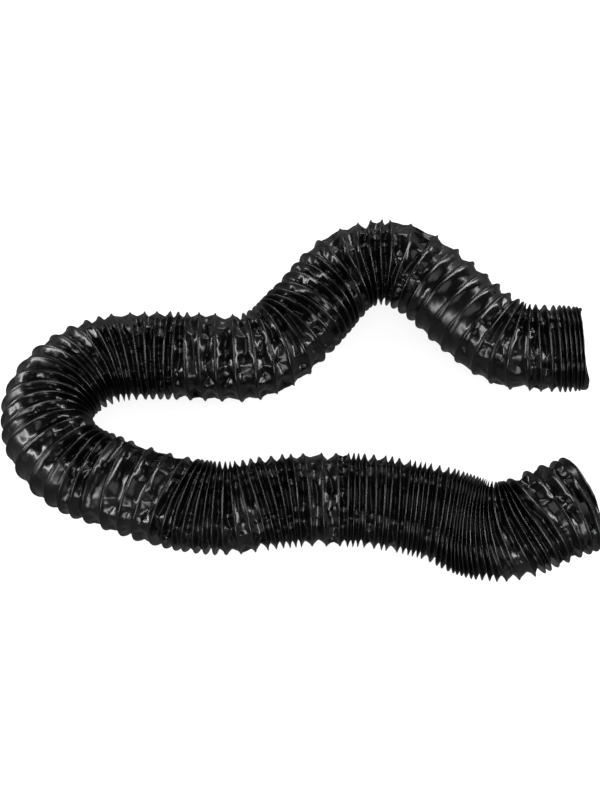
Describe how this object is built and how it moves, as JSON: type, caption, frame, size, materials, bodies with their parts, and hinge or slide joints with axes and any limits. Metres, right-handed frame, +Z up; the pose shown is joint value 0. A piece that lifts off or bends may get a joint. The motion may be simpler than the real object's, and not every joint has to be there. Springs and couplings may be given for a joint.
{
  "type": "flexible air duct",
  "caption": "Length of flexible round air duct: black film tube pleated over a spring-wire helix, laid in a winding shape with a U-bend and two open mouths.",
  "frame": {"origin": "on the surface that the duct lies on, below the middle of its box", "axes": "+X along the longest side, towards both mouths; +Y from the lower run to the upper run; +Z up"},
  "size_m": [0.7328, 0.482, 0.1045],
  "materials": {
    "film": "glossy, wrinkled",
    "wire": "drawn"
  },
  "bodies": {
    "upper_run": {"duct_upper_run": "film", "mouth_upper": "film", "wire_tail_upper": "wire"},
    "lower_run": {"duct_lower_run": "film"},
    "lower_mouth": {"mouth_lower": "film", "wire_tail_lower": "wire"}
  },
  "joints": [
    {"name": "u_bend_opening", "type": "hinge", "parent": "upper_run", "child": "lower_run", "pos_m": [-0.36671, -0.04639, 0.052], "axis": [0, 0, -1], "range_deg": [0, 30]},
    {"name": "lower_mouth_pull", "type": "slide", "parent": "lower_run", "child": "lower_mouth", "axis": [0.9419, 0.3358, 0], "range_m": [0, 0.06]}
  ]
}
